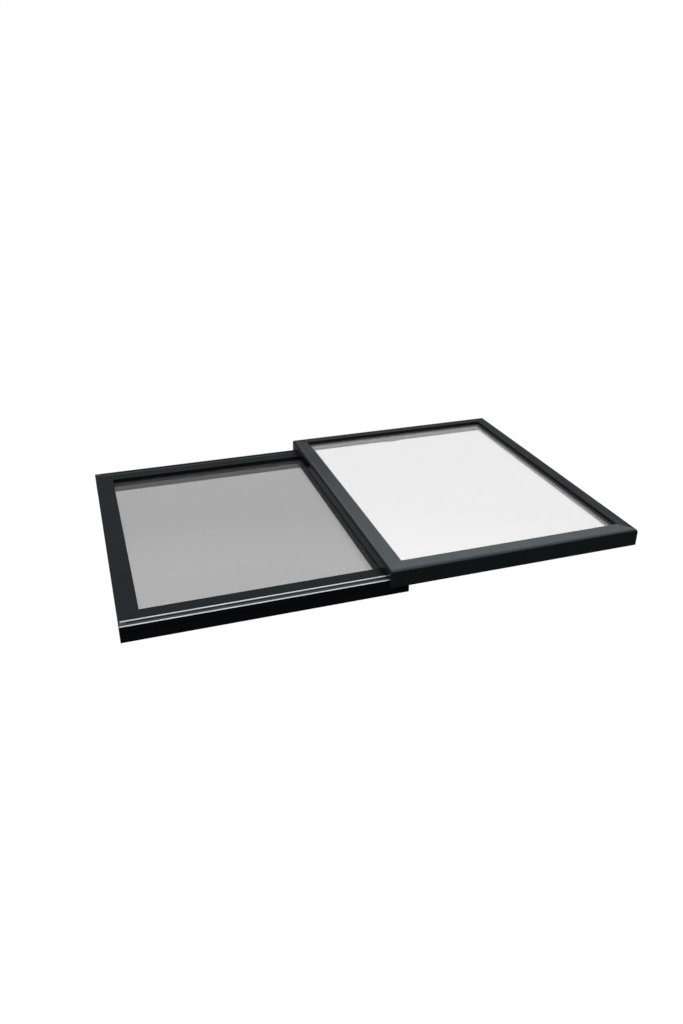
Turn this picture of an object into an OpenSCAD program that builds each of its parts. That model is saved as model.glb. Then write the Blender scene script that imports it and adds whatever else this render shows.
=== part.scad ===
// Sliding rooflight: a fixed glazed frame that bolts to a kerb, and a glazed sash that
// runs over it on wheels. X is the slide direction, Y runs across, Z is up.
// The origin is the middle of the fixed frame's footprint, on its underside.
// Two short letters are used for places in a section: u is the distance inward from a
// member's outer face, and z is the height above the underside.

/* [Overall] */
// Length of the fixed frame along the slide
base_len = 800; // [600:10:1200]
// Width of the fixed frame across the slide
base_w = 1000; // [600:10:1400]
// Height of the fixed frame
base_h = 52; // [50:1:70]
// How much longer the sash is than the fixed frame
sash_extra = 4; // [-200:1:400]
// How far the closed sash overlaps the fixed frame
overlap = 64; // [60:1:90]
// How far the sash oversails the fixed frame on each long side
oversail = 14; // [13.5:0.5:20]

/* [Fixed frame section] */
// Width of the two rails, outer face to daylight
rail_w = 68; // [64:1:80]
// Width of the two end members, outer face to daylight
end_w = 58; // [50:1:80]
// Reach of the glazing lip past the hollow body
lip_reach = 12; // [10:1:16]
// Thickness of the glazing lip
lip_h = 12; // [6:1:14]
// Wall of the extrusions
wall = 3; // [2:0.5:4]
// Thickness of the bottom wall that the fixings sit in
floor_t = 5; // [4:0.5:6]
// Height of the proud band round the top
band_h = 17; // [14:1:20]
// How far the band stands proud of the wall below it
band_proud = 3; // [2.5:0.5:4]
// Size of the chamfers along the rails
chamfer = 2; // [1:0.5:4]
// Size of the small chamfer on the end members
end_chamfer = 1.5; // [0.5:0.5:3]

/* [Track] */
// Flat land between the outer chamfer and the track groove
track_land = 4; // [2:0.5:6]
// Width of the track groove
track_w = 14; // [13:0.5:16]
// Depth of the track groove
track_depth = 5; // [4:0.5:6]
// Width of the ledge on the groove's inner side
track_step = 3.5; // [0.5:0.5:4]
// Distance of the open sash from the fixed frame's left end
open_inset = 11; // [6:1:436]
// Free gap at each end of the travel
stop_gap = 0.3; // [0.2:0.1:1]

/* [Glazing] */
// Thickness of each pane
pane_t = 4; // [4:1:6]
// Height of the spacer between the panes
spacer_h = 8; // [6:1:10]
// Width of the sash's spacer bar
spacer_w = 14; // [6:1:16]
// Width of the edge seal outside the fixed spacer
seal_w = 2; // [1.5:0.5:3]
// Thickness of the sash's outer gasket
outer_gasket_t = 2; // [1:0.5:3]
// Thickness of the fixed outer gasket
fixed_gasket_t = 3.5; // [1:0.5:4]
// How far the sash's outer gasket reaches past the daylight edge
gasket_reach = 8; // [2:0.5:10]
// Thickness of the inner gasket
inner_gasket_t = 1; // [1:0.5:2]
// How far the fixed glass reaches under the lip
fixed_bite = 10; // [7:0.5:10]
// Height of the fixed beads above the underside
bead_foot = 1; // [0.5:0.5:2]
// Wall of the fixed beads
bead_wall = 2.5; // [2:0.5:3]
// Length of each setting block
setting_len = 60; // [30:5:80]

/* [Sash section] */
// How far the skirts hang below the fixed frame's top
skirt_drop = 20; // [19:0.5:22]
// Height of the sash, skirt edge to inner top edge
sash_h = 56.8; // [56:0.2:64]
// Fall of the top face from its inner edge to the round
top_fall = 2; // [0:0.5:2.5]
// Radius of the outer top round
sash_round = 11; // [8:0.5:20]
// Width of the top face, outer face to daylight
flange_w = 45; // [42:1:60]
// Thickness of the top face at its inner edge
flange_t = 4.3; // [3:0.1:6]
// Thickness of the skirt
skirt_t = 10; // [8:0.5:10]
// Wall of the hollow in the skirt
skirt_wall = 2.5; // [2:0.5:3]
// Thickness of the web that holds the glass in
web_t = 2.5; // [2:0.5:3]
// Width from the web's inner face to the daylight
web_seat = 8.5; // [8:0.5:12]
// Depth of the lip under the flange's inner edge
sash_lip_h = 5.4; // [4:0.1:8]
// Width of that lip
sash_lip_w = 4; // [3:0.5:5]
// How far the sash glass reaches past the daylight edge
sash_bite = 6; // [5:0.5:7]
// Thickness of the sash beads
sash_bead_t = 2.9; // [2:0.1:3.2]
// Gap between the brush pile or clips and what they run along
pile_gap = 0.3; // [0.2:0.1:0.5]
// Gap between the fixed frame's top and the sash's left member
ride_gap = 2; // [1.5:0.5:3]
// Thickness of the plate that closes the left member's underside
plate_t = 2; // [1.5:0.5:3]

/* [Running gear] */
// Radius of the track wheels
wheel_r = 10.7; // [9:0.1:10.8]
// Radius of the support rollers
roller_r = 9.9; // [9:0.1:9.9]
// Width of each wheel and roller
wheel_w = 6; // [5:0.5:7]
// Radius of the axles
axle_r = 2.5; // [2:0.1:3]
// Radial clearance of running and push fits
fit = 0.05; // [0.02:0.01:0.08]
// Gap under a wheel and over a roller
roll_gap = 0.3; // [0.2:0.1:0.4]
// Clearance of the blocks in their channels
block_gap = 0.25; // [0.2:0.05:0.4]
// Clearance round a wheel in its block
wheel_gap = 0.5; // [0.4:0.1:0.8]
// Thickness of the block walls at the wheel's ends
lug_t = 2.55; // [2:0.05:3]
// Thickness of the steel runner strips
runner_t = 2; // [1.5:0.5:2]
// Thickness of the rubber buffers
buffer_t = 3; // [2:0.5:4]
// Length of each anti-lift clip
clip_len = 50; // [30:5:60]
// Thickness of the clip's toe
toe_t = 2.5; // [1.5:0.5:2.7]
// Reach of the clip's toe under the band
toe_reach = 2; // [1:0.5:2]

/* [Fixings] */
// Distance of the end pairs of kerb bolts from the ends of the fixed frame
bolt_end = 60; // [60:5:200]
// Distance of the kerb bolts from the rail's outer face
bolt_inset = 38; // [36:1:40]
// Bore of the rivet nuts
bolt_bore_r = 2.5; // [2:0.1:3]
// Outer radius of the rivet nuts
nut_r = 4.5; // [4:0.1:5]
// Length of the rivet nuts
nut_len = 16; // [12:1:20]
// Radius of the rivet nuts' flanges
nut_flange_r = 6; // [5.5:0.5:8]
// Thickness of the rivet nuts' flanges
nut_flange_t = 1; // [0.5:0.5:1.5]
// Radius of the cleat screws
screw_r = 2.5; // [2:0.1:3]
// Radius of the cleat screws' heads
screw_head_r = 4.5; // [4:0.5:6]
// Height of the cleat screws' heads
screw_head_t = 3; // [2:0.5:4]
// Distance between the two screws of a cleat
screw_pitch = 18; // [14:1:22]
// Length of the end member cleats
cleat_len = 40; // [30:5:60]
// Arm length of the sash corner cleats
corner_arm = 70; // [50:5:100]

/* [Hidden] */
$fn = 48;
// A sliver that keeps cuts clean
eps = 0.01;
// Sides of the fixed frame
base_x = base_len / 2;
base_y = base_w / 2;
rail_body = rail_w - lip_reach;
end_body = end_w - lip_reach;
lip_z = base_h - lip_h;
band_z = base_h - band_h;
cap_t = 2;
rail_x = base_x - cap_t;
// Track groove
track_u = chamfer + track_land;
track_z = base_h - track_depth;
groove_end = track_u + track_w;
track_mid = track_u + track_w / 2;
// Hollow chambers of the rails, either side of a web
chamber_u = band_proud + wall;
chamber_split = 28;
// Fixed glazing heights, from the lip down
f_pane_top = lip_z - fixed_gasket_t;
f_spacer_top = f_pane_top - pane_t;
f_inner_top = f_spacer_top - spacer_h;
f_gasket_top = f_inner_top - pane_t;
f_bead_top = f_gasket_top - inner_gasket_t;
// Half sizes of the fixed daylight opening
day_x = base_x - end_w;
day_y = base_y - rail_w;
// Kerb gasket
kerb_u = 10;
kerb_w = 12;
kerb_t = 2;
// Sides of the sash
sash_len = base_len + sash_extra;
sash_x0 = base_x - overlap;
sash_x1 = sash_x0 + sash_len;
sash_y = base_y + oversail;
sash_mid = (sash_x0 + sash_x1) / 2;
sash_foot = base_h - skirt_drop;
sash_top = sash_foot + sash_h;
top_out = sash_top - top_fall;
plate_z = base_h + ride_gap;
under_z = sash_top - flange_t;
web_u = flange_w - web_seat - web_t;
// Support rollers set the height of the runners
roller_sink = 6;
roller_z = base_h - roller_sink;
runner_z = roller_z + roller_r + roll_gap;
runner_top = runner_z + runner_t;
runner_short = 2;
cleat_lift = 0.4;
// Sash glazing heights, from the lip down
s_gasket_top = under_z - sash_lip_h;
s_pane_top = s_gasket_top - outer_gasket_t;
s_spacer_top = s_pane_top - pane_t;
s_inner_top = s_spacer_top - spacer_h;
s_gasket_in = s_inner_top - pane_t;
s_bead_top = s_gasket_in - inner_gasket_t;
// Middle line of the wheels, and the wheel blocks
block_lift = 1.5;
lug_gap = 0.6;
lug_side = 1;
wheel_y = base_y - track_mid;
block_x0 = sash_x0 + skirt_t + block_gap;
wheel_x = block_x0 + lug_t + wheel_gap + wheel_r;
block_x1 = wheel_x + wheel_r + wheel_gap + lug_t;
block_y1 = sash_y - skirt_t - block_gap;
block_y0 = sash_y - web_u + block_gap;
block_foot = base_h + block_lift;
block_top = under_z - block_gap;
axle_z = track_z + wheel_r + roll_gap;
axle_end = 1;
lug_foot = track_z + lug_gap;
lug_w = track_w - 2 * lug_side;
// Half length of the plate between the wheel blocks
plate_y = block_y0 - 2;
// Support roller cradles and the closed stop, from the wheel block outward
closed_x = block_x1 + stop_gap;
cradle_x0 = closed_x + buffer_t;
roller_x = cradle_x0 + roller_r + roll_gap;
cradle_x1 = roller_x + roller_r + roll_gap;
cradle_gap = 0.2;
cradle_floor = 2;
roller_under = 0.8;
cradle_z = roller_z - roller_r - roller_under - cradle_floor;
cradle_top = base_h - 0.5;
// Travel and the open stop
travel = base_len - overlap - open_inset;
open_x = block_x0 - travel - stop_gap;
stop_x0 = -rail_x;
// Clips
clip_gap = 0.5;
clip_end = 6;
clip_y = base_y + clip_gap;
clip_h = 6;
clip_at = [sash_x0 + clip_end, sash_mid - clip_len / 2];
clip_screws_at = [0.2, 0.8];
clip_screw_r = 1.9;
clip_screw_z = sash_foot + 4;
// Kerb bolts
bolts_x = [bolt_end - base_x, 0, base_x - bolt_end];
bolt_y = base_y - bolt_inset;
// Cleats in the end members, and their screws
cleat_mid = base_x - (chamber_u + end_body - wall) / 2;
cleat_z = (floor_t + base_h - wall) / 2;
cleat_screws_x = [cleat_mid - screw_pitch / 2, cleat_mid + screw_pitch / 2];
// Wheel section: hub and rim lands, the dish between them and the rounded tread edge
wheel_land = 2;
wheel_dish = 0.8;
tread_edge = 0.4;
// Mitres of the sash
mitre_d = flange_w + 20;
high = sash_top + 1;
// Fixed glass and sash glass, half sizes
f_glass_x = day_x + fixed_bite;
f_glass_y = day_y + fixed_bite;
f_seal_x = f_glass_x - seal_w;
f_seal_y = f_glass_y - seal_w;
s_day_x = sash_len / 2 - flange_w;
s_day_y = sash_y - flange_w;
s_glass_x = s_day_x + sash_bite;
s_glass_y = s_day_y + sash_bite;
// Brush seals
brush_z = sash_foot + 8;
brush_h = 6;
// Wiper seal: its width, the width of a lip's tip and the depth of its root
wiper_w = 12;
wiper_tip = 1;
wiper_root = 0.7;

// ---- Helpers ----

// A copy on the front side and its mirror image on the rear side
module both_y() {
    children();
    mirror([0, 1, 0]) children();
}

// A copy at the right end and its mirror image at the left end
module both_x() {
    children();
    mirror([1, 0, 0]) children();
}

// A (u, z) section run along X, with u counted inward from the front face at -face_y
module run_x(x0, x1, face_y) {
    translate([x0, -face_y, 0]) rotate([90, 0, 90]) linear_extrude(x1 - x0) children();
}

// A (u, z) section run along Y, with u counted inward from the left face at face_x
module run_y(half, face_x) {
    translate([face_x, half, 0]) rotate([90, 0, 0]) linear_extrude(2 * half) children();
}

// A box from its low corner to its high corner
module block(low, high) {
    translate(low) cube(high - low);
}

// A flat ring from an outer half size to an inner half size, about the point cx
module ring(cx, out_x, out_y, in_x, in_y, z0, z1) {
    difference() {
        block([cx - out_x, -out_y, z0], [cx + out_x, out_y, z1]);
        block([cx - in_x, -in_y, z0 - eps], [cx + in_x, in_y, z1 + eps]);
    }
}

// A shaft along Y at a place on the front side, from y0 to y1
module shaft_y(x, z, r, y0, y1) {
    translate([x, y1, z]) rotate([90, 0, 0]) cylinder(h = y1 - y0, r = r);
}

// ---- Fixed frame ----

// Outline of the rails: body, glazing lip, proud band, two chamfers and the track
module rail_outline() {
    polygon([[band_proud, 0], [rail_body, 0], [rail_body, lip_z], [rail_w, lip_z],
        [rail_w, base_h], [groove_end + track_step + chamfer, base_h],
        [groove_end + track_step, base_h - chamfer], [groove_end, base_h - chamfer],
        [groove_end, track_z], [track_u, track_z], [track_u, base_h],
        [chamfer, base_h], [0, base_h - chamfer], [0, band_z], [band_proud, band_z]]);
}

// Hollow section of the rails, with the gasket groove in the underside
module rail_section() {
    difference() {
        rail_outline();
        translate([chamber_u, floor_t])
            square([chamber_split - chamber_u, track_z - wall - floor_t]);
        translate([chamber_split + wall, floor_t])
            square([rail_body - chamber_split - 2 * wall, base_h - wall - floor_t]);
        translate([kerb_u, -eps]) square([kerb_w, kerb_t + eps]);
    }
}

// Outline and hollow of the two end members
module end_section() {
    difference() {
        polygon([[band_proud, 0], [end_body, 0], [end_body, lip_z], [end_w, lip_z],
            [end_w, base_h], [end_chamfer, base_h], [0, base_h - end_chamfer],
            [0, band_z], [band_proud, band_z]]);
        translate([chamber_u, floor_t])
            square([end_body - wall - chamber_u, base_h - wall - floor_t]);
        translate([kerb_u, -eps]) square([kerb_w, kerb_t + eps]);
    }
}

module base_rail() {
    difference() {
        run_x(-rail_x, rail_x, base_y) rail_section();
        // slot for the support roller's cradle
        block([cradle_x0 - cradle_gap, -base_y + track_u, cradle_z - cradle_gap],
            [base_x, -base_y + groove_end, base_h + eps]);
        for (x = bolts_x) translate([x, -bolt_y, -eps]) nut_seat();
        both_x() for (x = cleat_screws_x)
            shaft_y(x, cleat_z, screw_r + fit, -base_y + rail_body - wall - eps,
                -base_y + rail_body + eps);
    }
}

// Clearance shape of one rivet nut
module nut_seat() {
    cylinder(h = floor_t + 2 * eps, r = nut_r + fit);
    cylinder(h = nut_flange_t + eps, r = nut_flange_r + fit);
}

module base_rail_front() {
    color([0.07, 0.08, 0.09]) base_rail();
}

module base_rail_rear() {
    color([0.07, 0.08, 0.09]) mirror([0, 1, 0]) base_rail();
}

module base_end() {
    difference() {
        run_y(base_y - rail_body, -base_x) end_section();
        both_y() block([-base_x - eps, -base_y, lip_z], [-base_x + end_w + eps, -day_y, base_h + eps]);
    }
}

module base_end_left() {
    color([0.12, 0.13, 0.14]) base_end();
}

module base_end_right() {
    color([0.12, 0.13, 0.14]) mirror([1, 0, 0]) base_end();
}

// Blocks that slide into the end members and screw to the rails
module end_cleats() {
    color([0.7, 0.7, 0.72]) both_x() both_y() difference() {
        block([base_x - end_body + wall + block_gap, -base_y + rail_body, floor_t + block_gap],
            [base_x - chamber_u - block_gap, -base_y + rail_body + cleat_len,
                base_h - wall - block_gap]);
        for (x = cleat_screws_x)
            shaft_y(x, cleat_z, screw_r + fit, -base_y + rail_body - eps,
                -base_y + rail_body + cleat_len / 2);
        // the glazing lip's end sits above the cleat's root
        block([base_x - end_w, -base_y, lip_z - eps], [base_x, -day_y + block_gap, base_h]);
    }
}

module cleat_screws() {
    color([0.75, 0.75, 0.76]) both_x() both_y() for (x = cleat_screws_x) {
        shaft_y(x, cleat_z, screw_r, -base_y + rail_body - wall - eps,
            -base_y + rail_body + cleat_len / 2 - 1);
        shaft_y(x, cleat_z, screw_head_r, -base_y + rail_body - wall - screw_head_t,
            -base_y + rail_body - wall);
    }
}

module rail_caps() {
    color([0.08, 0.08, 0.09]) both_x() both_y()
        run_x(rail_x, base_x, base_y) difference() {
            rail_outline();
            translate([kerb_u, -eps]) square([kerb_w, kerb_t + eps]);
        }
}

module kerb_gasket() {
    color([0.05, 0.05, 0.05]) {
        both_y() block([-base_x, -base_y + kerb_u, 0], [base_x, -base_y + kerb_u + kerb_w, kerb_t]);
        both_x() block([base_x - kerb_u - kerb_w, -base_y + rail_body, 0],
            [base_x - kerb_u, base_y - rail_body, kerb_t]);
    }
}

module rivet_nuts() {
    color([0.72, 0.72, 0.7]) both_y() for (x = bolts_x) translate([x, -bolt_y, 0])
        difference() {
            union() {
                cylinder(h = nut_len, r = nut_r);
                cylinder(h = nut_flange_t, r = nut_flange_r);
                translate([0, 0, floor_t]) cylinder(h = wall, r = nut_flange_r);
            }
            translate([0, 0, -eps]) cylinder(h = nut_len + 2 * eps, r = bolt_bore_r);
        }
}

// ---- Fixed glazing ----

module fixed_outer_gasket() {
    color([0.06, 0.06, 0.06])
        ring(0, f_glass_x, f_glass_y, day_x, day_y, f_pane_top, lip_z);
}

module fixed_outer_pane() {
    color([0.6, 0.63, 0.64, 0.5])
        block([-f_glass_x, -f_glass_y, f_spacer_top], [f_glass_x, f_glass_y, f_pane_top]);
}

module fixed_spacer() {
    color([0.1, 0.1, 0.1])
        ring(0, f_seal_x, f_seal_y, day_x, day_y, f_inner_top, f_spacer_top);
}

module fixed_edge_seal() {
    color([0.04, 0.04, 0.04])
        ring(0, f_glass_x, f_glass_y, f_seal_x, f_seal_y, f_inner_top, f_spacer_top);
}

module fixed_inner_pane() {
    color([0.6, 0.63, 0.64, 0.5])
        block([-f_glass_x, -f_glass_y, f_gasket_top], [f_glass_x, f_glass_y, f_inner_top]);
}

module fixed_inner_gasket() {
    color([0.06, 0.06, 0.06])
        ring(0, f_glass_x, f_glass_y, day_x, day_y, f_bead_top, f_gasket_top);
}

// Hollow section of the fixed beads, from the body wall to the daylight edge
module bead_section() {
    difference() {
        translate([0, bead_foot]) square([lip_reach, f_bead_top - bead_foot]);
        translate([bead_wall, bead_foot + bead_wall])
            square([lip_reach - 2 * bead_wall, f_bead_top - bead_foot - 2 * bead_wall]);
    }
}

module fixed_rail_beads() {
    color([0.08, 0.08, 0.09]) both_y()
        run_x(-base_x + end_body, base_x - end_body, base_y - rail_body) bead_section();
}

module fixed_end_beads() {
    color([0.08, 0.08, 0.09]) both_x() run_y(day_y, -base_x + end_body) bead_section();
}

module fixed_setting_blocks() {
    color([0.1, 0.1, 0.1]) {
        both_x() both_y() block([day_x / 2, -day_y - lip_reach, f_gasket_top],
            [day_x / 2 + setting_len, -f_glass_y, f_pane_top]);
        both_x() both_y() block([f_glass_x, -day_y / 2 - setting_len, f_gasket_top],
            [day_x + lip_reach, -day_y / 2, f_pane_top]);
    }
}

// ---- Track fittings on the fixed frame ----

// A strip that lies in the track groove, from x0 to x1
module in_track(x0, x1, z1) {
    both_y() block([x0, -wheel_y - lug_w / 2, track_z], [x1, -wheel_y + lug_w / 2, z1]);
}

module open_stops() {
    color([0.2, 0.2, 0.22]) in_track(stop_x0, open_x - buffer_t, cradle_top);
}

module open_buffers() {
    color([0.05, 0.05, 0.05]) in_track(open_x - buffer_t, open_x, cradle_top);
}

module closed_buffers() {
    color([0.05, 0.05, 0.05]) in_track(closed_x, cradle_x0 - cradle_gap, cradle_top);
}

module roller_cradles() {
    color([0.16, 0.16, 0.17]) both_y() difference() {
        block([cradle_x0, -base_y + track_u + cradle_gap, cradle_z],
            [cradle_x1, -base_y + groove_end - cradle_gap, cradle_top]);
        block([cradle_x0 - eps, -wheel_y - wheel_w / 2 - wheel_gap, roller_z - roller_r - roller_under],
            [cradle_x1 + eps, -wheel_y + wheel_w / 2 + wheel_gap, base_h]);
        shaft_y(roller_x, roller_z, axle_r + fit, -base_y, -base_y + rail_w);
    }
}

module roller_axles() {
    color([0.78, 0.78, 0.8]) both_y() shaft_y(roller_x, roller_z, axle_r,
        -base_y + track_u + cradle_gap, -base_y + groove_end - cradle_gap);
}

// A wheel on a Y axis, with a hub that is a little wider than its dished sides
module wheel(x, y, z, r) {
    side = wheel_w / 2;
    hub = axle_r + wheel_land;
    rim = r - wheel_land;
    half = [[axle_r + fit, side], [hub, side], [hub + wheel_dish, side - wheel_dish],
        [rim - wheel_dish, side - wheel_dish], [rim, side], [r - tread_edge, side],
        [r, side - tread_edge]];
    last = len(half) - 1;
    translate([x, y, z]) rotate([90, 0, 0]) rotate_extrude()
        polygon([for (p = half) p, for (k = [last:-1:0]) [half[k].x, -half[k].y]]);
}

module support_roller_front() {
    color([0.85, 0.85, 0.83]) wheel(roller_x, -wheel_y, roller_z, roller_r);
}

module support_roller_rear() {
    color([0.85, 0.85, 0.83]) wheel(roller_x, wheel_y, roller_z, roller_r);
}

// ---- Sash ----

// Outer skin of the sash section from the height foot up: round top, skirt and flange
module sash_skin(foot, web_foot) {
    difference() {
        union() {
            translate([0, foot]) square([skirt_t, top_out - sash_round - foot]);
            translate([sash_round, top_out - sash_round]) circle(sash_round);
            polygon([[skirt_t, under_z], [flange_w, under_z], [flange_w, sash_top],
                [sash_round, top_out], [skirt_t, top_out - sash_round / 2]]);
            translate([web_u, web_foot]) square([web_t, under_z - web_foot + eps]);
            translate([flange_w - sash_lip_w, s_gasket_top])
                square([sash_lip_w, sash_lip_h + eps]);
        }
        translate([skirt_t, foot - eps]) square([web_u - skirt_t, under_z - foot + eps]);
    }
}

// Plan of a member with mitred ends, for a side of half length half and depth d
module mitre_plan(half, d) {
    polygon([[-half, 0], [half, 0], [half - d, d], [-half + d, d]]);
}

// Front side of the sash: mitred above the plate, square below it at the left end
module sash_side() {
    difference() {
        intersection() {
            run_x(sash_x0, sash_x1, sash_y) sash_skin(sash_foot, runner_z);
            union() {
                translate([sash_mid, -sash_y, 0]) linear_extrude(high)
                    mitre_plan(sash_len / 2, mitre_d);
                block([sash_x0, -sash_y, 0], [sash_mid, -sash_y + skirt_t, plate_z]);
            }
        }
        // hollow of the skirt, closed at both ends
        block([sash_x0 + skirt_t, -sash_y + skirt_wall, sash_foot + skirt_wall],
            [sash_x1 - skirt_t, -sash_y + skirt_t - skirt_wall, top_out - sash_round - wall]);
        for (x = clip_at, k = clip_screws_at)
            shaft_y(x + k * clip_len, clip_screw_z, clip_screw_r + fit,
                -sash_y + skirt_t - skirt_wall - eps, -clip_y + eps);
    }
}

module sash_front() {
    color([0.09, 0.1, 0.11]) sash_side();
}

module sash_rear() {
    color([0.09, 0.1, 0.11]) mirror([0, 1, 0]) sash_side();
}

// An end member of the sash, drawn at the left end and cut to its mitres
module sash_end(x_face, turn, foot, web_foot) {
    translate([x_face, 0, 0]) rotate([0, 0, turn]) difference() {
        intersection() {
            run_y(sash_y, 0) sash_skin(foot, web_foot);
            rotate([0, 0, -90]) linear_extrude(high) mitre_plan(sash_y, mitre_d);
        }
        block([skirt_wall, -sash_y + skirt_t, foot + skirt_wall],
            [skirt_t - skirt_wall, sash_y - skirt_t, top_out - sash_round - wall]);
    }
}

module sash_left() {
    color([0.09, 0.1, 0.11]) {
        sash_end(sash_x0, 0, plate_z, plate_z);
        // plate under the hollow, short of the wheel blocks
        block([sash_x0 + skirt_t, -plate_y, plate_z],
            [sash_x0 + web_u, plate_y, plate_z + plate_t]);
    }
}

module sash_right() {
    color([0.09, 0.1, 0.11]) sash_end(sash_x1, 180, sash_foot, runner_z);
}

module sash_corner_cleats() {
    color([0.7, 0.7, 0.72]) both_y() difference() {
        block([sash_x1 - corner_arm, -block_y1, runner_top + cleat_lift],
            [sash_x1 - skirt_t - block_gap, -block_y1 + corner_arm, block_top]);
        block([sash_x1 - corner_arm - 1, -block_y0, 0],
            [sash_x1 - web_u + block_gap, -block_y1 + corner_arm + 1, high]);
    }
}

// ---- Sash glazing ----

module sash_outer_gasket() {
    color([0.06, 0.06, 0.06]) ring(sash_mid, s_day_x + sash_lip_w, s_day_y + sash_lip_w,
        s_day_x - gasket_reach, s_day_y - gasket_reach, s_pane_top, s_gasket_top);
}

module sash_outer_pane() {
    color([0.85, 0.88, 0.88, 0.5]) block([sash_mid - s_glass_x, -s_glass_y, s_spacer_top],
        [sash_mid + s_glass_x, s_glass_y, s_pane_top]);
}

module sash_spacer() {
    color([0.1, 0.1, 0.1]) ring(sash_mid, s_day_x, s_day_y,
        s_day_x - spacer_w, s_day_y - spacer_w, s_inner_top, s_spacer_top);
}

module sash_edge_seal() {
    color([0.04, 0.04, 0.04]) ring(sash_mid, s_glass_x, s_glass_y, s_day_x, s_day_y,
        s_inner_top, s_spacer_top);
}

module sash_inner_pane() {
    color([0.85, 0.88, 0.88, 0.5]) block([sash_mid - s_glass_x, -s_glass_y, s_gasket_in],
        [sash_mid + s_glass_x, s_glass_y, s_inner_top]);
}

module sash_inner_gasket() {
    color([0.06, 0.06, 0.06]) ring(sash_mid, s_glass_x, s_glass_y, s_day_x, s_day_y,
        s_bead_top, s_gasket_in);
}

module sash_side_beads() {
    color([0.08, 0.08, 0.09]) both_y()
        block([sash_mid - s_day_x - web_seat, -s_day_y - web_seat, s_bead_top - sash_bead_t],
            [sash_mid + s_day_x + web_seat, -s_day_y, s_bead_top]);
}

module sash_end_beads() {
    color([0.08, 0.08, 0.09]) for (side = [-1, 1]) translate([sash_mid, 0, 0])
        rotate([0, 0, side > 0 ? 0 : 180])
            block([s_day_x, -s_day_y, s_bead_top - sash_bead_t],
                [s_day_x + web_seat, s_day_y, s_bead_top]);
}

module sash_setting_blocks() {
    color([0.1, 0.1, 0.1]) both_y() translate([sash_mid, 0, 0]) both_x() {
        block([s_day_x / 2, -s_day_y - web_seat, s_gasket_in],
            [s_day_x / 2 + setting_len, -s_glass_y, s_pane_top]);
        block([s_glass_x, -s_day_y / 2 - setting_len, s_gasket_in],
            [s_day_x + web_seat, -s_day_y / 2, s_pane_top]);
    }
}

// ---- Sash running gear ----

// Blocks at the left corners that carry the track wheels, with stop lugs in the groove
module wheel_blocks() {
    color([0.14, 0.14, 0.15]) both_y() difference() {
        union() {
            block([block_x0, -block_y1, block_foot], [block_x1, -block_y0, block_top]);
            for (x = [block_x0, block_x1 - lug_t])
                block([x, -wheel_y - lug_w / 2, lug_foot],
                    [x + lug_t, -wheel_y + lug_w / 2, block_foot + eps]);
        }
        block([block_x0 + lug_t, -wheel_y - wheel_w / 2 - wheel_gap, lug_foot - 1],
            [block_x1 - lug_t, -wheel_y + wheel_w / 2 + wheel_gap, axle_z + wheel_r + wheel_gap]);
        shaft_y(wheel_x, axle_z, axle_r + fit, -sash_y, -block_y0 + 1);
    }
}

module wheel_axles() {
    color([0.78, 0.78, 0.8]) both_y()
        shaft_y(wheel_x, axle_z, axle_r, -block_y1 + axle_end, -block_y0 - axle_end);
}

module track_wheel_front() {
    color([0.85, 0.85, 0.83]) wheel(wheel_x, -wheel_y, axle_z, wheel_r);
}

module track_wheel_rear() {
    color([0.85, 0.85, 0.83]) wheel(wheel_x, wheel_y, axle_z, wheel_r);
}

module sash_runners() {
    color([0.8, 0.8, 0.82]) both_y()
        block([block_x1 + stop_gap, -sash_y + skirt_t, runner_z],
            [sash_x1 - skirt_t - runner_short, -sash_y + web_u, runner_top]);
}

// Clips on the skirts whose toes run under the proud band
module anti_lift_clips() {
    color([0.16, 0.16, 0.17]) both_y() for (x = clip_at) difference() {
        union() {
            block([x, -sash_y + skirt_t, sash_foot], [x + clip_len, -clip_y, sash_foot + clip_h]);
            block([x, -clip_y - 1, sash_foot],
                [x + clip_len, -base_y + toe_reach, sash_foot + toe_t]);
        }
        for (k = clip_screws_at) shaft_y(x + k * clip_len, clip_screw_z, clip_screw_r + fit,
            -sash_y, -clip_y + 1);
    }
}

module clip_screws() {
    color([0.75, 0.75, 0.76]) both_y() for (x = clip_at, k = clip_screws_at)
        shaft_y(x + k * clip_len, clip_screw_z, clip_screw_r,
            -sash_y + skirt_t - skirt_wall, -clip_y);
}

module brush_seals() {
    color([0.12, 0.12, 0.12]) both_y()
        block([sash_x0 + skirt_t, -sash_y + skirt_t, brush_z],
            [sash_x1 - skirt_t, -base_y - pile_gap, brush_z + brush_h]);
}

// Seal with two lips under the sash's left member
module wiper_seal() {
    tip_z = base_h + roll_gap;
    lip = wiper_w / 4;
    color([0.05, 0.05, 0.05])
        run_y(plate_y, sash_x0 + skirt_t)
            polygon([[0, plate_z], [wiper_w, plate_z], [wiper_w - lip, tip_z],
                [wiper_w - lip - wiper_tip, tip_z], [wiper_w / 2, plate_z - wiper_root],
                [lip + wiper_tip, tip_z], [lip, tip_z]]);
}

base_rail_front();
base_rail_rear();
base_end_left();
base_end_right();
end_cleats();
cleat_screws();
rail_caps();
kerb_gasket();
rivet_nuts();
fixed_outer_gasket();
fixed_outer_pane();
fixed_spacer();
fixed_edge_seal();
fixed_inner_pane();
fixed_inner_gasket();
fixed_rail_beads();
fixed_end_beads();
fixed_setting_blocks();
open_stops();
open_buffers();
closed_buffers();
roller_cradles();
roller_axles();
support_roller_front();
support_roller_rear();
sash_front();
sash_rear();
sash_left();
sash_right();
sash_corner_cleats();
sash_outer_gasket();
sash_outer_pane();
sash_spacer();
sash_edge_seal();
sash_inner_pane();
sash_inner_gasket();
sash_side_beads();
sash_end_beads();
sash_setting_blocks();
wheel_blocks();
wheel_axles();
track_wheel_front();
track_wheel_rear();
sash_runners();
anti_lift_clips();
clip_screws();
brush_seals();
wiper_seal();
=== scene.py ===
"""Looks of the sliding rooflight: finishes, brush pile, screws, studio and camera, in metres."""
import math

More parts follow.
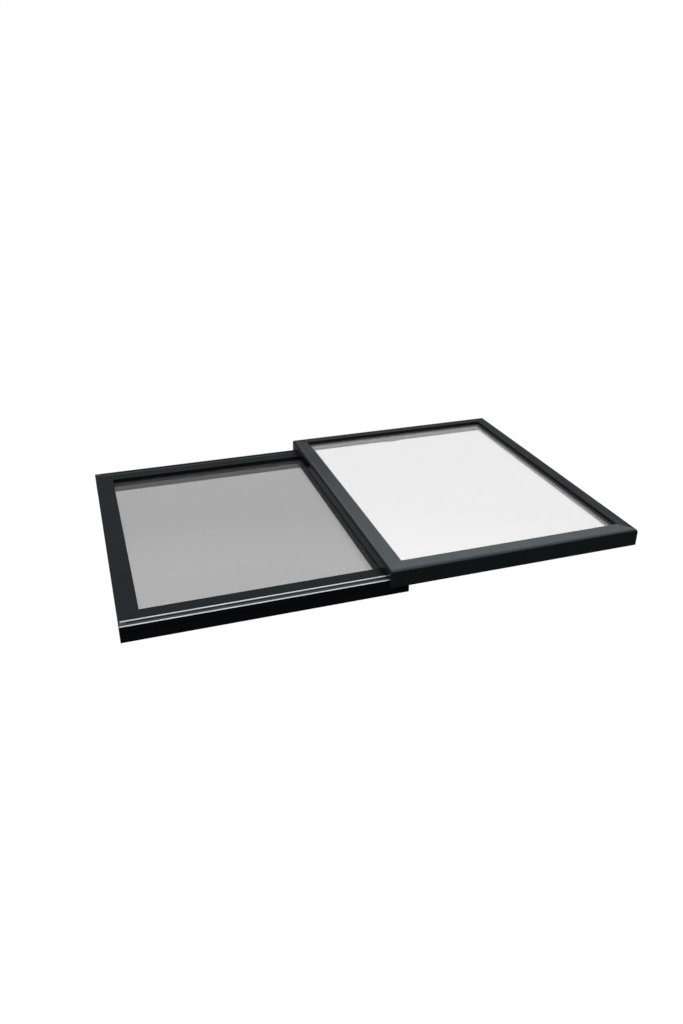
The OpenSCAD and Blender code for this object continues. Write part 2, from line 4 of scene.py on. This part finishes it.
import bmesh
import bpy
from mathutils import Matrix, Vector


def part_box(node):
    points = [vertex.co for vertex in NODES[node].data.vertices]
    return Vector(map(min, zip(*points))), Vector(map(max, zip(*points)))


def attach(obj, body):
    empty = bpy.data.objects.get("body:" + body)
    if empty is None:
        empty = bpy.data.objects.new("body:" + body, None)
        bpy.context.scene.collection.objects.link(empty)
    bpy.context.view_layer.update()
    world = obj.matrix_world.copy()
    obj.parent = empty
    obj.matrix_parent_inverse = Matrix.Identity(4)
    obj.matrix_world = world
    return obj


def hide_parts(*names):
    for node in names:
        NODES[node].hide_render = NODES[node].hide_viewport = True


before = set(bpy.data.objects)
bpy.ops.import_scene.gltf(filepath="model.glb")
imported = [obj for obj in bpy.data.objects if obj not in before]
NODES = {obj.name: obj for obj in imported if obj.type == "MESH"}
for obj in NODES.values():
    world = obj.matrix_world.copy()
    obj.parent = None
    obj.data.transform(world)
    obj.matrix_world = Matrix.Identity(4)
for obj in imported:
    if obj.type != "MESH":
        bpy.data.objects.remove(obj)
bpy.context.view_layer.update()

MM = 0.001


# ---- Sizes read from the frame ----

BASE_X, BASE_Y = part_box("rail_caps")[1][:2]
BASE_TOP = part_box("base_rail_front")[1][2]
BRUSH_LOW, BRUSH_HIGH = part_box("brush_seals")
CLIP_LOW, CLIP_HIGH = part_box("anti_lift_clips")
SCREW_LOW, SCREW_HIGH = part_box("clip_screws")
NUT_LOW, NUT_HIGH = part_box("rivet_nuts")


# ---- Material tools ----

class Finish:
    """A Principled material with short calls for the nodes that feed it."""

    def __init__(self, name, color, roughness=0.5, metallic=0.0, **sockets):
        self.material = bpy.data.materials.new(name)
        self.material.use_nodes = True
        self.tree = self.material.node_tree
        self.shader = self.tree.nodes["Principled BSDF"]
        self.shader.inputs["Base Color"].default_value = (*color, 1)
        self.shader.inputs["Roughness"].default_value = roughness
        self.shader.inputs["Metallic"].default_value = metallic
        for socket, value in sockets.items():
            self.shader.inputs[socket.replace("_", " ")].default_value = value
        self.place = self.node("ShaderNodeTexCoord").outputs["Object"]

    def node(self, kind, **values):
        made = self.tree.nodes.new(kind)
        for key, value in values.items():
            setattr(made, key, value)
        return made

    def link(self, source, target):
        self.tree.links.new(source, target)

    def noise(self, scale, detail=3.0, stretch=(1, 1, 1)):
        """Noise over the object's own metres; scale is features per metre."""
        mapping = self.node("ShaderNodeMapping")
        mapping.inputs["Scale"].default_value = stretch
        self.link(self.place, mapping.inputs["Vector"])
        texture = self.node("ShaderNodeTexNoise")
        texture.inputs["Scale"].default_value = scale
        texture.inputs["Detail"].default_value = detail
        self.link(mapping.outputs["Vector"], texture.inputs["Vector"])
        return texture.outputs["Fac"]

    def spread(self, source, low, high, start=0.3, end=0.7):
        """Maps a value from start..end to low..high."""
        ranged = self.node("ShaderNodeMapRange")
        ranged.inputs["From Min"].default_value = start
        ranged.inputs["From Max"].default_value = end
        ranged.inputs["To Min"].default_value = low
        ranged.inputs["To Max"].default_value = high
        self.link(source, ranged.inputs["Value"])
        return ranged.outputs["Result"]

    def math(self, operation, a, b=None):
        node = self.node("ShaderNodeMath", operation=operation)
        for socket, value in zip(node.inputs, (a, b)):
            if value is None:
                continue
            if isinstance(value, (int, float)):
                socket.default_value = value
            else:
                self.link(value, socket)
        return node.outputs["Value"]

    def mix(self, factor, a, b):
        """Colour mix of two colours or colour outputs."""
        node = self.node("ShaderNodeMix", data_type="RGBA")
        self.link(factor, node.inputs["Factor"])
        colour_sockets = [s for s in node.inputs if s.type == "RGBA"]
        for socket, value in zip(colour_sockets, (a, b)):
            if isinstance(value, tuple):
                socket.default_value = (*value, 1)
            else:
                self.link(value, socket)
        return next(s for s in node.outputs if s.type == "RGBA")

    def bump(self, height, distance, strength=1.0):
        node = self.node("ShaderNodeBump")
        node.inputs["Distance"].default_value = distance
        node.inputs["Strength"].default_value = strength
        self.link(height, node.inputs["Height"])
        self.link(node.outputs["Normal"], self.shader.inputs["Normal"])

    def colour(self, output):
        self.link(output, self.shader.inputs["Base Color"])

    def rough(self, output):
        self.link(output, self.shader.inputs["Roughness"])


def scaled(color, k):
    return tuple(c * k for c in color)


# The coats' cool sheen
COAT_SHEEN = (0.74, 0.93, 1.0, 1)


def powder_coat(name, color, roughness, level):
    """Satin powder coat: orange-peel relief, cloudy gloss and faint handling marks."""
    f = Finish(name, color, roughness, Specular_IOR_Level=level, Specular_Tint=COAT_SHEEN)
    cloud = f.noise(7, 4)
    speck = f.noise(900, 2)
    marks = f.noise(60, 6, (1, 0.15, 1))
    tone = f.mix(f.spread(cloud, 0, 1), scaled(color, 0.86), scaled(color, 1.16))
    f.colour(f.mix(f.spread(speck, 0, 0.3, 0.55, 0.75), tone, scaled(color, 2.0)))
    f.rough(f.math("ADD", f.spread(cloud, roughness - 0.03, roughness + 0.03),
                   f.spread(marks, -0.02, 0.03, 0.5, 0.7)))
    f.bump(speck, 0.03 * MM, 0.35)
    return f


BASE_BLACK = (0.0056, 0.0074, 0.0086)
# The rails' painted highlight lines on the chamfers and rubbed track, measured from the rail's
# outer face and top
CHAMFER_DROP = 2.1 * MM
TRACK_MIDDLE = 13 * MM
TRACK_REACH = 23.6 * MM
TRACK_DROP = 6 * MM
OUTER_HIGHLIGHT_START = 0.5 * MM
INNER_HIGHLIGHT_LATER = 4.5 * MM


def frame_coat():
    return powder_coat("sash_powder_coat", (0.0068, 0.0090, 0.0106), 0.24, 0.5).material


def base_coat():
    return powder_coat("base_powder_coat", BASE_BLACK, 0.36, 0.06).material


def rail_coat():
    """The base coat, with the chamfers machined bare and their highlight painted in as a light grey
    colour, and the track rubbed grey.
    """
    f = powder_coat("rail_powder_coat", BASE_BLACK, 0.36, 0.06)
    coat = f.shader.inputs["Base Color"].links[0].from_socket
    rough = f.shader.inputs["Roughness"].links[0].from_socket
    place = f.node("ShaderNodeSeparateXYZ")
    f.link(f.place, place.inputs["Vector"])
    normal = f.node("ShaderNodeSeparateXYZ")
    f.link(f.node("ShaderNodeNewGeometry").outputs["True Normal"], normal.inputs["Vector"])
    lean = f.math("ABSOLUTE", normal.outputs["Y"])
    sloped = f.math("MULTIPLY", f.math("GREATER_THAN", lean, 0.5), f.math("LESS_THAN", lean, 0.9))
    upper = f.math("GREATER_THAN", place.outputs["Z"], BASE_TOP - CHAMFER_DROP)
    upward = f.math("GREATER_THAN", normal.outputs["Z"], 0.3)
    across = f.math("ABSOLUTE", place.outputs["Y"])
    inner = f.math("LESS_THAN", across, BASE_Y - TRACK_MIDDLE)
    # the painted highlight lines start a little in from the rail's end, the inner one later still
    begins = f.math("ADD", f.math("MULTIPLY", inner, INNER_HIGHLIGHT_LATER),
                    OUTER_HIGHLIGHT_START - BASE_X)
    drawn = f.math("GREATER_THAN", place.outputs["X"], begins)
    chamfer = f.math("MULTIPLY", f.math("MULTIPLY", sloped, upper),
                     f.math("MULTIPLY", upward, drawn))
    track = f.math("MULTIPLY", f.math("GREATER_THAN", across, BASE_Y - TRACK_REACH),
                   f.math("LESS_THAN", across, BASE_Y - CHAMFER_DROP))
    track = f.math("MULTIPLY", track,
                   f.math("GREATER_THAN", place.outputs["Z"], BASE_TOP - TRACK_DROP))
    rubbed = f.noise(260, 3, (0.03, 1, 1))
    grey = f.mix(f.spread(rubbed, 0, 1), (0.032, 0.038, 0.044), (0.056, 0.064, 0.071))
    brushed = f.noise(600, 3, (0.02, 1, 1))
    # painted highlight: a light grey base colour on the chamfers, not metal, so they look lit under
    # any lamp
    bright = f.mix(f.spread(brushed, 0, 1), (0.58, 0.59, 0.60), (0.86, 0.87, 0.88))
    f.colour(f.mix(chamfer, f.mix(track, coat, grey), bright))
    f.rough(f.math("ADD", f.math("MULTIPLY", rough, f.math("SUBTRACT", 1, chamfer)),
                   f.math("MULTIPLY", chamfer, 0.42)))
    return f.material


def rubber():
    """Matt black rubber with a bloom and fine moulding texture."""
    color = (0.014, 0.014, 0.015)
    f = Finish("gasket_rubber", color, 0.7, Specular_IOR_Level=0.35)
    bloom = f.noise(40, 5)
    f.colour(f.mix(f.spread(bloom, 0, 1, 0.4, 0.75), color, scaled(color, 2.2)))
    f.rough(f.spread(bloom, 0.62, 0.82))
    f.bump(f.noise(1600, 2), 0.02 * MM, 0.5)
    return f.material


def spacer_bar():
    """Warm-edge spacer: matt black with fine cross ribs."""
    f = Finish("warm_edge_spacer", (0.016, 0.016, 0.017), 0.55, Specular_IOR_Level=0.4)
    wave = f.node("ShaderNodeTexWave", wave_type="BANDS", bands_direction="DIAGONAL")
    wave.inputs["Scale"].default_value = 110
    f.link(f.place, wave.inputs["Vector"])
    f.bump(wave.outputs["Fac"], 0.12 * MM, 0.6)
    f.rough(f.spread(f.noise(80, 4), 0.48, 0.66))
    return f.material


def moulded(name, color, roughness=0.5):
    """Glass-filled plastic with a spark-eroded grain."""
    f = Finish(name, color, roughness, Specular_IOR_Level=0.45)
    grain = f.noise(1300, 3)
    f.colour(f.mix(f.spread(f.noise(30, 4), 0, 1), scaled(color, 0.85), scaled(color, 1.25)))
    f.rough(f.spread(grain, roughness - 0.06, roughness + 0.08))
    f.bump(grain, 0.03 * MM, 0.5)
    return f.material


def metal(name, color, roughness, stretch):
    """Brushed or drawn metal, with the lines along the piece's length."""
    f = Finish(name, color, roughness, 1.0)
    lines = f.noise(700, 4, stretch)
    f.colour(f.mix(f.spread(lines, 0, 1), scaled(color, 0.82), scaled(color, 1.1)))
    f.rough(f.spread(lines, roughness - 0.07, roughness + 0.09))
    f.bump(lines, 0.01 * MM, 0.4)
    return f.material


def pane(name, tint, clear, ior=1.18, film=0.02, grain=0.0):
    """One sheet of glass: clear is the share of light that isn't scattered by its soft coat,
    film is the strength of the dust and wiping marks, and grain is that of the coat's specks."""
    f = Finish(name, tint, 0.0, Transmission_Weight=clear, IOR=ior)
    wipe = f.noise(9, 6, (1, 0.4, 1))
    dust = f.noise(420, 2)
    f.rough(f.math("MULTIPLY", f.spread(wipe, 0, film, 0.52, 0.8),
                   f.spread(dust, 0.4, 1.0, 0.4, 0.7)))
    specks = f.spread(f.noise(520, 2), 0, 1, 0.35, 0.65)
    f.colour(f.mix(specks, scaled(tint, 1 - grain), scaled(tint, 1 + grain)))
    return f.material


# ---- Finishes on the CAD nodes ----

def dress(names, material):
    for name in names:
        piece = NODES[name]
        piece.data.materials.clear()
        piece.data.materials.append(material)


def soften(names, width, segments=2):
    """Breaks the sharp edges, so that they catch the light, and smooths the rounds."""
    for name in names:
        piece = NODES[name]
        for polygon in piece.data.polygons:
            polygon.use_smooth = True
        bevel = piece.modifiers.new("edge_break", "BEVEL")
        bevel.width = width
        bevel.segments = segments
        bevel.limit_method = "ANGLE"
        bevel.angle_limit = math.radians(28)
        bevel.harden_normals = True
        bevel.use_clamp_overlap = True
        normals = piece.modifiers.new("even_normals", "WEIGHTED_NORMAL")
        normals.keep_sharp = True


RAILS = ["base_rail_front", "base_rail_rear"]
ENDS = ["base_end_left", "base_end_right"]
FIXED_BEADS = ["fixed_rail_beads", "fixed_end_beads"]
SASH = ["sash_front", "sash_rear", "sash_left", "sash_right"]
SASH_BEADS = ["sash_side_beads", "sash_end_beads"]
GASKETS = ["kerb_gasket", "fixed_outer_gasket", "fixed_inner_gasket", "sash_outer_gasket",
           "sash_inner_gasket", "open_buffers", "closed_buffers", "wiper_seal",
           "fixed_setting_blocks", "sash_setting_blocks"]
SPACERS = ["fixed_spacer", "fixed_edge_seal", "sash_spacer", "sash_edge_seal"]
PLASTIC = ["rail_caps", "open_stops", "roller_cradles", "wheel_blocks", "anti_lift_clips"]
WHEELS = ["support_roller_front", "support_roller_rear", "track_wheel_front", "track_wheel_rear"]

dress(RAILS, rail_coat())
dress(ENDS + FIXED_BEADS, base_coat())
dress(SASH + SASH_BEADS, frame_coat())
dress(GASKETS, rubber())
dress(SPACERS, spacer_bar())
dress(PLASTIC, moulded("glass_filled_nylon", (0.016, 0.016, 0.017)))
dress(WHEELS, moulded("natural_nylon", (0.66, 0.64, 0.58), 0.42))
STAINLESS = metal("drawn_stainless", (0.62, 0.61, 0.59), 0.32, (0.02, 1, 1))
dress(["sash_runners", "roller_axles", "wheel_axles", "cleat_screws"], STAINLESS)
dress(["end_cleats", "sash_corner_cleats"],
      metal("mill_aluminium", (0.72, 0.72, 0.73), 0.42, (1, 0.03, 1)))
dress(["fixed_outer_pane"], pane("solar_coated_glass", (0.59, 0.59, 0.59), 0.955, grain=0.02))
dress(["fixed_inner_pane"], pane("solar_body_glass", (0.60, 0.60, 0.60), 1.0))
dress(["sash_outer_pane"], pane("soft_coated_glass", (0.876, 0.876, 0.876), 0.86))
dress(["sash_inner_pane"], pane("clear_glass", (0.95, 0.95, 0.95), 1.0))

for name in ("fixed_outer_pane", "fixed_inner_pane", "sash_outer_pane", "sash_inner_pane"):
    NODES[name].visible_glossy = False  # the coats don't mirror the panes

soften(RAILS + ENDS, 0.35 * MM)
soften(SASH, 0.45 * MM)
soften(PLASTIC + SASH_BEADS + FIXED_BEADS, 0.25 * MM)
soften(WHEELS, 0.2 * MM)


# ---- Pieces made here ----

def add_piece(name, mesh, material, body, slot_name, *nodes):
    """Puts a bmesh into the scene as one piece that stands for the named CAD nodes."""
    data = bpy.data.meshes.new(name)
    mesh.to_mesh(data)
    mesh.free()
    piece = bpy.data.objects.new(name, data)
    bpy.context.scene.collection.objects.link(piece)
    data.materials.append(material)
    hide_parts(*nodes)
    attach(piece, body)
    return piece


def add_box(mesh, low, high):
    size = Vector(high) - Vector(low)
    middle = (Vector(high) + Vector(low)) / 2
    bmesh.ops.create_cube(mesh, size=1,
                          matrix=Matrix.Translation(middle) @ Matrix.Diagonal((*size, 1)))


def tuft(mesh, x, foot_y, tip_y, z, width, height, lean):
    """One tuft of pile: a flat spike from the backing to a frayed tip."""
    sx, sz = width / 2, height / 2
    foot = [mesh.verts.new((x + dx * sx, foot_y, z + dz * sz))
            for dx, dz in ((-1, -1), (1, -1), (1, 1), (-1, 1))]
    tip = [mesh.verts.new((x + lean + dx * sx * 0.5, tip_y, z + dz * sz * 0.92))
           for dx, dz in ((-1, -1), (1, -1), (1, 1), (-1, 1))]
    for k in range(4):
        mesh.faces.new((foot[k], foot[(k + 1) % 4], tip[(k + 1) % 4], tip[k]))
    mesh.faces.new(tip)
    mesh.faces.new(foot[::-1])


def brush_pile():
    """Pile weatherstrip along each skirt: a ribbed backing with close tufts."""
    f = Finish("pile_fibre", (0.012, 0.012, 0.013), 0.85, Sheen_Weight=0.3)
    f.bump(f.noise(2500, 2, (1, 0.1, 1)), 0.05 * MM, 0.6)
    mesh = bmesh.new()
    pitch = 2.0 * MM
    backing = 1.2 * MM
    count = int((BRUSH_HIGH[0] - BRUSH_LOW[0]) / pitch)
    middle_z = (BRUSH_LOW[2] + BRUSH_HIGH[2]) / 2
    height = BRUSH_HIGH[2] - BRUSH_LOW[2]
    for side in (-1, 1):
        outer = side * BRUSH_HIGH[1]
        inner = side * (BASE_Y + 0.3 * MM)
        root = outer - side * backing
        low_y, high_y = min(outer, root), max(outer, root)
        add_box(mesh, (BRUSH_LOW[0], low_y, BRUSH_LOW[2]), (BRUSH_HIGH[0], high_y, BRUSH_HIGH[2]))
        for k in range(count):
            x = BRUSH_LOW[0] + (k + 0.5) * pitch
            lean = 0.25 * MM * math.sin(k * 2.4)
            tip = inner + side * 0.25 * MM * (1 + math.sin(k * 1.7))
            tuft(mesh, x, root, tip, middle_z, 1.5 * MM, height * 0.8, lean)
    add_piece("brush_pile", mesh, f.material, "sash", "brush", "brush_seals")


def ring_of(mesh, centre, radius, y, sides):
    """The points of one circle about a Y axis."""
    return [mesh.verts.new((centre[0] + radius * math.cos(2 * math.pi * k / sides), y,
                            centre[1] + radius * math.sin(2 * math.pi * k / sides)))
            for k in range(sides)]


def lathe_y(mesh, x, z, stations, sides):
    """A closed turned shape about a Y axis; stations are (y, radius) from end to end."""
    rings = [ring_of(mesh, (x, z), radius, y, sides) for y, radius in stations]
    for a, b in zip(rings, rings[1:]):
        for k in range(sides):
            mesh.faces.new((a[k], a[(k + 1) % sides], b[(k + 1) % sides], b[k]))
    mesh.faces.new(rings[0][::-1])
    mesh.faces.new(rings[-1])


def clip_screws():
    """Countersunk socket screws in the clips, with a turned thread and a hex recess."""
    mesh = bmesh.new()
    radius = (SCREW_HIGH[2] - SCREW_LOW[2]) / 2
    z = (SCREW_HIGH[2] + SCREW_LOW[2]) / 2
    tip = SCREW_HIGH[1]
    head = BASE_Y + 0.5 * MM
    clip_len = 50 * MM
    starts = (CLIP_LOW[0], CLIP_HIGH[0] - clip_len)
    pitch = 0.7 * MM
    turns = int((tip - head - 1.2 * MM) / pitch)
    for start in starts:
        for share in (0.2, 0.8):
            x = start + share * clip_len
            for side in (-1, 1):
                stations = [(side * (head + 0.05 * MM), 0.55 * radius),
                            (side * head, 0.6 * radius), (side * head, radius * 0.97),
                            (side * (head + 0.9 * MM), radius * 0.9)]
                for k in range(turns):
                    y = head + 1.0 * MM + k * pitch
                    stations += [(side * y, radius * 0.78), (side * (y + pitch / 2), radius * 0.97)]
                stations.append((side * tip, radius * 0.6))
                lathe_y(mesh, x, z, stations, 18)
    bmesh.ops.recalc_face_normals(mesh, faces=mesh.faces)
    add_piece("clip_socket_screws", mesh, STAINLESS, "sash", "steel", "clip_screws")


def rivet_nuts():
    """Rivet nuts in the underside: flange, knurled body, collapsed bulge and a threaded bore."""
    zinc = metal("zinc_plate", (0.60, 0.60, 0.57), 0.34, (1, 1, 0.1))
    mesh = bmesh.new()
    sides = 36
    body_r, flange_r, bore_r = 4.5 * MM, 6 * MM, 2.5 * MM
    flange_t = 1 * MM
    bulge_low, bulge_high = 5 * MM, 8 * MM
    bulge_middle, bulge_round = (bulge_low + bulge_high) / 2, 1.2 * MM
    length = NUT_HIGH[2]
    pitch, thread_depth = 1.0 * MM, 0.35 * MM
    turns = int(length / pitch)
    inside = [(length - k * pitch / 2, bore_r + (0.0 if k % 2 else thread_depth))
              for k in range(2 * turns, -1, -1)]
    outside = [(0, flange_r), (flange_t, flange_r), (flange_t, body_r), (bulge_low, body_r),
               (bulge_middle - bulge_round, flange_r * 0.97), (bulge_middle, flange_r),
               (bulge_middle + bulge_round, flange_r * 0.97), (bulge_high, body_r),
               (length, body_r)]
    loop = outside + [(z, r) for z, r in reversed(inside)]
    for x in (NUT_LOW[0] + flange_r, 0.0, NUT_HIGH[0] - flange_r):
        for y in (NUT_LOW[1] + flange_r, NUT_HIGH[1] - flange_r):
            rings = [knurled_ring(mesh, (x, y), r, z, body_r, sides) for z, r in loop]
            for a, b in zip(rings, rings[1:] + rings[:1]):
                for k in range(sides):
                    mesh.faces.new((a[k], a[(k + 1) % sides], b[(k + 1) % sides], b[k]))
    bmesh.ops.recalc_face_normals(mesh, faces=mesh.faces)
    add_piece("threaded_rivet_nuts", mesh, zinc, "root", "steel", "rivet_nuts")


def knurled_ring(mesh, centre, radius, z, body_r, sides):
    """A level circle; on the body, alternate points sit lower, as knurling does."""
    depth, above_flange = 0.18 * MM, 1 * MM
    on_body = abs(radius - body_r) < 0.01 * MM and z > above_flange
    ring = []
    for k in range(sides):
        reach = radius - (depth if k % 2 and on_body else 0.0)
        angle = 2 * math.pi * k / sides
        ring.append(mesh.verts.new((centre[0] + reach * math.cos(angle),
                                    centre[1] + reach * math.sin(angle), z)))
    return ring


brush_pile()
clip_screws()
rivet_nuts()


# ---- Studio ----

def studio():
    """A white light table and dome that show to the eye and through the glass, and nowhere else."""
    radius = 30.0
    mesh = bmesh.new()
    bmesh.ops.create_circle(mesh, cap_ends=True, segments=96, radius=radius,
                            matrix=Matrix.Translation((0, 0, -0.5 * MM)))
    dome = bmesh.ops.create_uvsphere(mesh, u_segments=64, v_segments=32, radius=radius)
    below = [v for v in dome["verts"] if v.co.z < -0.1]
    bmesh.ops.delete(mesh, geom=below, context="VERTS")
    data = bpy.data.meshes.new("light_table")
    mesh.to_mesh(data)
    mesh.free()
    table = bpy.data.objects.new("light_table", data)
    bpy.context.scene.collection.objects.link(table)
    white = bpy.data.materials.new("light_table")
    white.use_nodes = True
    tree = white.node_tree
    tree.nodes.clear()
    glow = tree.nodes.new("ShaderNodeEmission")
    glow.inputs["Color"].default_value = (1, 1, 1, 1)
    glow.inputs["Strength"].default_value = 1.0
    out = tree.nodes.new("ShaderNodeOutputMaterial")
    tree.links.new(glow.outputs["Emission"], out.inputs["Surface"])
    data.materials.append(white)
    table.visible_diffuse = False
    table.visible_glossy = False
    table.visible_shadow = False


# Brightness of the surround by height, from the horizon at 0 to overhead at 1
SKY_STOPS = ((0.0, 0.11), (0.28, 0.11), (0.38, 0.11), (0.45, 0.14),
             (0.50, 1.05), (0.60, 1.4), (1.0, 1.1))
# The surround dims toward the front: where the fade starts and ends along Y, and its levels
ROOM_FRONT, ROOM_BACK = -0.75, 0.15
ROOM_DIM, ROOM_BRIGHT = 0.75, 1.25


def sky():
    """Soft surround: dark at the horizon, dimmer toward the front, and bright overhead."""
    world = bpy.data.worlds.new("studio")
    bpy.context.scene.world = world
    world.use_nodes = True
    tree = world.node_tree
    place = tree.nodes.new("ShaderNodeTexCoord")
    split = tree.nodes.new("ShaderNodeSeparateXYZ")
    tree.links.new(place.outputs["Generated"], split.inputs["Vector"])
    ramp = tree.nodes.new("ShaderNodeValToRGB")
    elements = ramp.color_ramp.elements
    elements[0].position, elements[0].color = SKY_STOPS[0][0], (*[SKY_STOPS[0][1]] * 3, 1)
    elements[1].position, elements[1].color = SKY_STOPS[-1][0], (*[SKY_STOPS[-1][1]] * 3, 1)
    for at, level in SKY_STOPS[1:-1]:
        elements.new(at).color = (level, level, level, 1)
    tree.links.new(split.outputs["Z"], ramp.inputs["Fac"])
    room = tree.nodes.new("ShaderNodeMapRange")
    room.inputs["From Min"].default_value = ROOM_FRONT
    room.inputs["From Max"].default_value = ROOM_BACK
    room.inputs["To Min"].default_value = ROOM_DIM
    room.inputs["To Max"].default_value = ROOM_BRIGHT
    tree.links.new(split.outputs["Y"], room.inputs["Value"])
    tree.links.new(ramp.outputs["Color"], tree.nodes["Background"].inputs["Color"])
    tree.links.new(room.outputs["Result"], tree.nodes["Background"].inputs["Strength"])


def softbox(name, place, aim, size, power):
    data = bpy.data.lights.new(name, "AREA")
    data.shape = "DISK"
    data.size = size
    data.energy = power
    lamp = bpy.data.objects.new(name, data)
    bpy.context.scene.collection.objects.link(lamp)
    lamp.location = place
    lamp.rotation_euler = (Vector(aim) - Vector(place)).to_track_quat("-Z", "Y").to_euler()


# Camera: lens and sensor in millimetres, place in metres, and turns in degrees
LENS, SENSOR = 28.9863, 36
EYE = (-0.407, -2.329, 1.257)
PITCH_DOWN, YAW_RIGHT, ROLL = 26.75, 18.28, 0.03


def camera():
    """A little above a standing person's waist, looking down across the front rail."""
    data = bpy.data.cameras.new("camera")
    data.sensor_fit = "AUTO"
    data.sensor_width = SENSOR
    data.lens = LENS
    data.clip_end = 200
    eye = bpy.data.objects.new("camera", data)
    bpy.context.scene.collection.objects.link(eye)
    eye.location = EYE
    pitch, yaw, roll = (math.radians(degrees) for degrees in (PITCH_DOWN, YAW_RIGHT, ROLL))
    turn = Matrix.Rotation(-yaw, 3, "Z") @ Matrix.Rotation(math.pi / 2 - pitch, 3, "X")
    eye.rotation_euler = (turn @ Matrix.Rotation(roll, 3, "Z")).to_euler()
    bpy.context.scene.camera = eye


studio()
sky()
softbox("key", (0.4, -1.5, 5.0), (0.3, 0, 0), 3.0, 60)
camera()
view = bpy.context.scene.view_settings
view.view_transform = "Standard"
view.look = "None"

bpy.context.view_layer.update()
